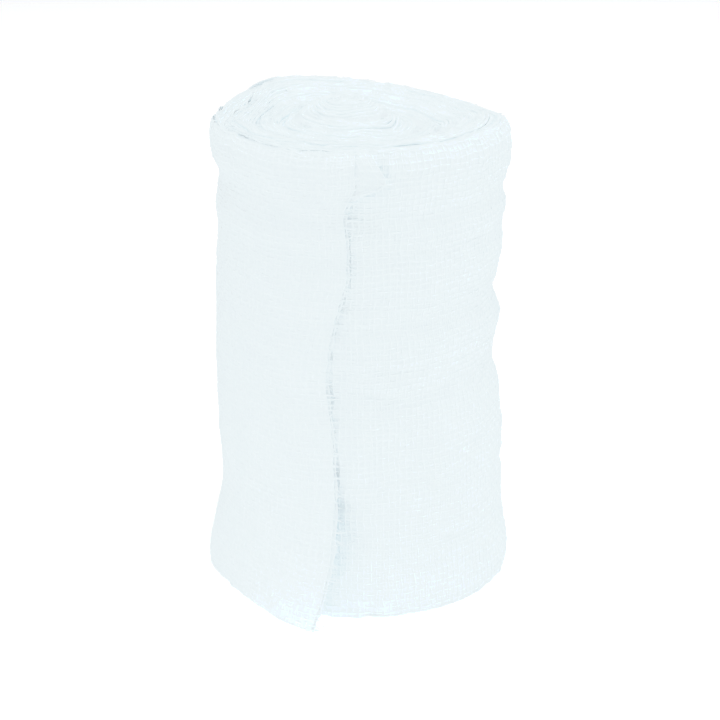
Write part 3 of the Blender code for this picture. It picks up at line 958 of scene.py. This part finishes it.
def weave_grid(turned_at, columns, first_column, seed, held=0):
    """Crossings of the weave, shape (warps, wefts): degrees along the cloth and level, a little uneven.

    The last few columns, as many as held says, keep to a cut edge.
    """
    rows = int(round((CLOTH_WIDTH - WARP_PITCH) / WARP_PITCH)) + 1
    rng = np.random.default_rng(seed)
    levels = np.linspace(LOWEST_THREAD, HIGHEST_THREAD, rows) + rng.uniform(-LEVEL_JITTER, LEVEL_JITTER, rows)
    shifts = np.random.default_rng(seed + 1).uniform(-SHIFT_JITTER, SHIFT_JITTER, SHIFT_DRAWS)
    level = np.broadcast_to(levels[:, None], (rows, columns))
    turned = turned_at(level, np.arange(columns))
    along = arc(turned)
    level = level + unevenness(along, level, LEVEL_WAVES, seed)
    sideways = shifts[first_column:first_column + columns] + unevenness(along, level, SHIFT_WAVES, seed)
    if held:
        sideways = sideways * np.clip((columns - 1 - np.arange(columns)) / held, 0.0, 1.0)
    turned = turned + np.degrees(sideways / ROLL_RADIUS)
    return turned, np.clip(level, LOWEST_THREAD, CLOTH_WIDTH - TOP_MARGIN)


def halve(values):
    """Add the midpoints between neighbours along the last axis."""
    full = np.empty((*values.shape[:-1], 2 * values.shape[-1] - 1))
    full[..., ::2] = values
    full[..., 1::2] = 0.5 * (values[..., 1:] + values[..., :-1])
    return full


def build_threads(name, grid, upright, first_column, solid, extend=None, depth=0.0):
    """One family of threads of the weave, each passing over and under the other family."""
    turned, level = grid
    rows, columns = turned.shape
    parity = (np.arange(rows)[:, None] + np.arange(columns)[None, :] + first_column) % 2
    swing = WEAVE_HEIGHT * (1.0 - 2.0 * parity)
    if upright:
        turned, level, swing = turned.T, level.T, -swing.T
    turned, level = halve(turned), halve(level)
    offset = np.zeros_like(turned)
    offset[:, ::2] = swing
    radius = WEFT_RADIUS if upright else WARP_RADIUS
    thick = radius * (1.0 + unevenness(arc(turned), level, THREAD_WAVES, int(upright)))
    paths = cloth_point(turned, level, offset - THREAD_DEPTH - depth)
    if extend is not None:
        paths, thick = extend(paths, thick)
    paths[..., 2] = np.maximum(paths[..., 2], radius * FLOOR_CLEAR)
    outward = unit(paths * np.array([1.0, 1.0, 0.0]))
    piece = mesh_object(name, *tubes(paths, outward, thick), None, THREAD)
    declare(piece, solid)
    return piece


WRAP_COLUMNS = int(round(arc(360.0 - WRAP_START) / WEFT_PITCH)) + 1
LOOSE_COLUMNS = 56
UNDER_COLUMNS = 14            # the under ply shows only at its cut edge
UNDER_DEPTH = 0.29            # from the upper ply to the under ply
UNDER_BEYOND = 1.1            # degrees that the under ply's cut edge shows past the upper one
CUT_WAVES = ((0.14, 6.0, 0), (0.07, 2.0, 1))
UPPER_SEED = 61
UNDER_SEED = 65
WEAVE_SEED = 51
UNDER_WEAVE_SEED = 91
FRAY_SEED = 77
FRAY_LENGTHS = (0.25, 1.5)
FRAY_LONG = 0.15              # the share of threads that reach twice as far
FRAY_SWAY = 0.28
FRAY_THINNING = (0.75, 0.4)   # a thread's thickness half way along its fray and at the end


def wrap_turned(level, column):
    """Columns of the roll's outer ply."""
    return np.broadcast_to(WRAP_START + (360.0 - WRAP_START) * column / (WRAP_COLUMNS - 1), level.shape)


def cut_turned(table, level, seed):
    """The wavy, slightly ragged cut edge of one ply."""
    ragged = unevenness(level, 0.0, CUT_WAVES, seed)
    return curve(table, level) - LIFT_ANGLE + 360.0 + np.degrees(ragged / ROLL_RADIUS)


def loose_turned(level, column):
    """Columns of the upper ply, closing up towards its cut edge."""
    cut = cut_turned(UPPER_CUT, level, UPPER_SEED)
    return 360.0 + (cut - 360.0) * column / (LOOSE_COLUMNS - 1)


def under_turned(level, column):
    """The last columns of the under ply."""
    cut = cut_turned(CUT_EDGE, level, UNDER_SEED) + UNDER_BEYOND
    return cut - np.degrees(WEFT_PITCH / ROLL_RADIUS) * (UNDER_COLUMNS - 1 - column)


def fray(paths, thick):
    """Carry the level threads a little past the cut edge, each its own way."""
    rng = np.random.default_rng(FRAY_SEED)
    last = paths[:, -1]
    ahead = unit(last - paths[:, -3])
    lengths = rng.uniform(*FRAY_LENGTHS, len(paths))
    lengths = lengths * np.where(rng.uniform(size=len(paths)) > 1.0 - FRAY_LONG, 2.0, 1.0)
    sway = rng.normal(0.0, FRAY_SWAY, (len(paths), 3))
    more = []
    for share in (0.5, 1.0):
        more.append(last + ahead * (lengths * share)[:, None] + sway * (lengths * share ** 2)[:, None])
    paths = np.concatenate([paths, np.stack(more, 1)], 1)
    thin = np.stack([thick[:, -1] * share for share in FRAY_THINNING], 1)
    return paths, np.concatenate([thick, thin], 1)


def build_weave():
    """The threads of the roll's outer ply and of the loose end's two plies; returns the loose end's."""
    first = WRAP_COLUMNS - 1
    wrap = weave_grid(wrap_turned, WRAP_COLUMNS, 0, WEAVE_SEED)
    loose = weave_grid(loose_turned, LOOSE_COLUMNS, first, WEAVE_SEED, held=4)
    past_seam = [grid[:, 1:] for grid in loose]
    under = weave_grid(under_turned, UNDER_COLUMNS, 0, UNDER_WEAVE_SEED, held=3)
    build_threads("wrap_warp", wrap, False, 0, "roll")
    build_threads("wrap_weft", wrap, True, 0, "roll")
    warp = build_threads("loose_warp", loose, False, first, "loose_end", fray)
    weft = build_threads("loose_weft", past_seam, True, first + 1, "loose_end")
    under_warp = build_threads("under_warp", under, False, 0, "loose_end", fray, UNDER_DEPTH)
    under_weft = build_threads("under_weft", under, True, 0, "loose_end", None, UNDER_DEPTH)
    return [warp, weft], [under_warp, under_weft]


# ---------------------------------------------------------------- the plies of the loose end

SHEET_COLUMNS = 80
SHEET_ROWS = 100
SHEET_START = 358.4           # the plies of the loose end begin here, a little before they leave the roll
SHEET_FOOT = 0.25
SHEET_TOP = 99.85
UPPER_INSET = 0.15            # from the cloth's outer face to the upper ply's
UPPER_THICKNESS = 0.12
UNDER_THICKNESS = 0.14


def build_ply(name, cut_table, beyond, inset, thickness, seed):
    """One ply of the loose end as a thin closed sheet."""
    level = np.linspace(SHEET_FOOT, SHEET_TOP, SHEET_ROWS)[:, None]
    share = np.linspace(0.0, 1.0, SHEET_COLUMNS)[None, :]
    cut = cut_turned(cut_table, level, seed) + beyond
    turned = SHEET_START + (cut - SHEET_START) * share
    level = np.broadcast_to(level, turned.shape)
    faces = [cloth_point(turned, level, -inset - depth).reshape(-1, 3) for depth in (0.0, thickness)]
    uv = np.stack([arc(turned), level], -1).reshape(-1, 2)
    points, quads = np.concatenate(faces), closed_sheet_faces(*level.shape)
    piece = mesh_object(name, points, quads, (), np.concatenate([uv, uv]), CLOTH)
    piece.data.set_sharp_from_angle(angle=math.radians(SHARP_BEND))
    declare(piece, "loose_end")
    return piece


def build_loose_end(threads, under_threads):
    """The two plies, each a declared sheet; the threads that are passed in are not used."""
    under_inset = UPPER_INSET + UNDER_DEPTH
    upper = build_ply("upper_ply", UPPER_CUT, 0.0, UPPER_INSET, UPPER_THICKNESS, UPPER_SEED)
    under = build_ply("under_ply", CUT_EDGE, UNDER_BEYOND, under_inset, UNDER_THICKNESS, UNDER_SEED)


make_camera()
make_stage()
build_body()
slack = [slack_turn(share, top, SLACK_SEED + 3 * row) for row, (share, top) in enumerate(SLACK_TURNS)]
build_turns("turns_top", top_height, CLOTH_WIDTH, 1, TOP_TURNS_SEED, slack)
build_turns("turns_base", base_height, 0.0, -1, BASE_TURNS_SEED)
build_lint()
build_loose_end(*build_weave())
